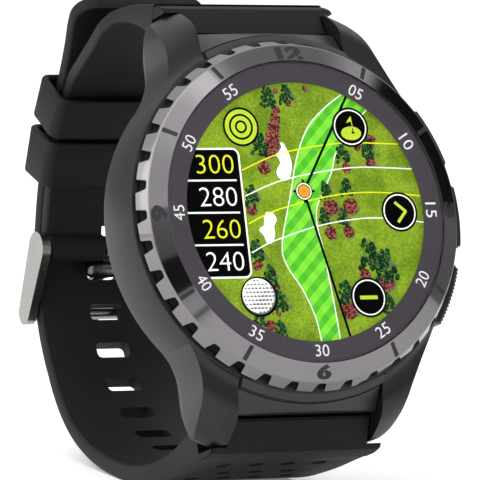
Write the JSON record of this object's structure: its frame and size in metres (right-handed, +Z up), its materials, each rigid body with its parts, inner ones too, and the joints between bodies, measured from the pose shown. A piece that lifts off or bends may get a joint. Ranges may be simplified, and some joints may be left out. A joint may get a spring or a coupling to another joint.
{
  "type": "golf gps watch",
  "caption": "Round golf GPS watch with notched bezel, colour display, side pushers and a buckled silicone strap.",
  "frame": {"origin": "centre of the bounding box at floor level, under the lowest point of the buckled strap", "axes": "+X to the 3 o'clock side of the watch, -Y out of the dial, which leans back 18 degrees, +Z up"},
  "size_m": [0.0508, 0.0748, 0.0673],
  "materials": {
    "gunmetal": "satin dark grey coat over steel",
    "bezel_gloss": "polished grey ceramic",
    "satin_black": "satin black",
    "glass": "polished cover glass",
    "ring_print": "dark grey print",
    "screen": "colour display",
    "seal_rubber": "black sealing rubber",
    "inner_plastic": "moulded black",
    "circuit_board": "green solder mask",
    "tinned_steel": "tinned sheet",
    "antenna_ceramic": "fired ceramic",
    "battery_foil": "laminated foil pouch",
    "tungsten": "sintered tungsten",
    "bright_steel": "polished stainless steel",
    "gold_plate": "gold plated",
    "button_black": "black",
    "silicone": "matt dark silicone"
  },
  "bodies": {
    "watch": {"back_gasket": "seal_rubber", "back_screw_1": "bright_steel", "back_screw_2": "bright_steel", "back_screw_3": "bright_steel", "back_screw_4": "bright_steel", "battery": "battery_foil", "bezel": "bezel_gloss", "buckle_bar": "bright_steel", "button_seal_centre": "seal_rubber", "button_seal_lower": "seal_rubber", "button_seal_upper": "seal_rubber", "button_spring_centre": "bright_steel", "button_spring_lower": "bright_steel", "button_spring_upper": "bright_steel", "case_back": "bright_steel", "chapter_ring": "ring_print", "charge_contact_1": "gold_plate", "charge_contact_2": "gold_plate", "charge_contact_3": "gold_plate", "charge_contact_4": "gold_plate", "display_panel": "screen", "end_cover_12": "satin_black", "end_cover_6": "satin_black", "front_gasket": "seal_rubber", "gnss_antenna": "antenna_ceramic", "inner_frame": "inner_plastic", "keeper_fixed": "silicone", "lens": "glass", "lug_bar_12": "bright_steel", "lug_bar_6": "bright_steel", "main_board": "circuit_board", "mid_case": "gunmetal", "shield_can": "tinned_steel", "strap_12_short": "silicone", "strap_6_long": "silicone", "switch_centre": "tinned_steel", "switch_lower": "tinned_steel", "switch_upper": "tinned_steel", "vibration_motor": "tinned_steel"},
    "upper_pusher": {"button_upper": "button_black", "button_clip_upper": "bright_steel"},
    "centre_pusher": {"button_centre": "button_black", "button_clip_centre": "bright_steel"},
    "lower_pusher": {"button_lower": "button_black", "button_clip_lower": "bright_steel"},
    "motor_weight": {"vibration_weight": "tungsten"},
    "lug_bar_12_left_tip": {"lug_bar_12_tip_left": "bright_steel"},
    "lug_bar_12_right_tip": {"lug_bar_12_tip_right": "bright_steel"},
    "lug_bar_6_left_tip": {"lug_bar_6_tip_left": "bright_steel"},
    "lug_bar_6_right_tip": {"lug_bar_6_tip_right": "bright_steel"},
    "buckle_bar_left_tip": {"buckle_bar_tip_left": "bright_steel"},
    "buckle_bar_right_tip": {"buckle_bar_tip_right": "bright_steel"},
    "buckle_frame": {"buckle_frame": "bright_steel"},
    "buckle_tongue": {"buckle_tongue": "bright_steel"},
    "free_keeper": {"keeper_free": "silicone"}
  },
  "joints": [
    {"name": "upper_pusher_press", "type": "slide", "parent": "watch", "child": "upper_pusher", "axis": [-0.8988, -0.1355, -0.4169], "range_m": [0, 0.0005], "stiffness_N_per_m": 1800, "springref_m": -0.0006},
    {"name": "centre_pusher_press", "type": "slide", "parent": "watch", "child": "centre_pusher", "axis": [-1, 0, 0], "range_m": [0, 0.0005], "stiffness_N_per_m": 1800, "springref_m": -0.0006},
    {"name": "lower_pusher_press", "type": "slide", "parent": "watch", "child": "lower_pusher", "axis": [-0.8988, 0.1355, 0.4169], "range_m": [0, 0.0005], "stiffness_N_per_m": 1800, "springref_m": -0.0006},
    {"name": "motor_spin", "type": "hinge", "parent": "watch", "child": "motor_weight", "pos_m": [0.00367, -0.02533, 0.02478], "axis": [1, 0, 0], "continuous": true},
    {"name": "lug_bar_12_left_tip_slide", "type": "slide", "parent": "watch", "child": "lug_bar_12_left_tip", "axis": [1, 0, 0], "range_m": [0, 0.00145], "stiffness_N_per_m": 500, "springref_m": -0.0012},
    {"name": "lug_bar_12_right_tip_slide", "type": "slide", "parent": "watch", "child": "lug_bar_12_right_tip", "axis": [-1, 0, 0], "range_m": [0, 0.00145], "stiffness_N_per_m": 500, "springref_m": -0.0012},
    {"name": "lug_bar_6_left_tip_slide", "type": "slide", "parent": "watch", "child": "lug_bar_6_left_tip", "axis": [1, 0, 0], "range_m": [0, 0.00145], "stiffness_N_per_m": 500, "springref_m": -0.0012},
    {"name": "lug_bar_6_right_tip_slide", "type": "slide", "parent": "watch", "child": "lug_bar_6_right_tip", "axis": [-1, 0, 0], "range_m": [0, 0.00145], "stiffness_N_per_m": 500, "springref_m": -0.0012},
    {"name": "buckle_bar_left_tip_slide", "type": "slide", "parent": "watch", "child": "buckle_bar_left_tip", "axis": [1, 0, 0], "range_m": [0, 0.00085], "stiffness_N_per_m": 500, "springref_m": -0.0012},
    {"name": "buckle_bar_right_tip_slide", "type": "slide", "parent": "watch", "child": "buckle_bar_right_tip", "axis": [-1, 0, 0], "range_m": [0, 0.00085], "stiffness_N_per_m": 500, "springref_m": -0.0012},
    {"name": "buckle_frame_pivot", "type": "hinge", "parent": "watch", "child": "buckle_frame", "pos_m": [-0.00072, 0.03068, 0.02955], "axis": [1, 0, 0], "range_deg": [-1, 1.2]},
    {"name": "buckle_tongue_pivot", "type": "hinge", "parent": "watch", "child": "buckle_tongue", "pos_m": [-0.00072, 0.03068, 0.02955], "axis": [1, 0, 0], "range_deg": [0, 3]},
    {"name": "free_keeper_slide", "type": "slide", "parent": "watch", "child": "free_keeper", "axis": [0, -0.4286, 0.9035], "range_m": [-0.0004, 0.001]}
  ]
}
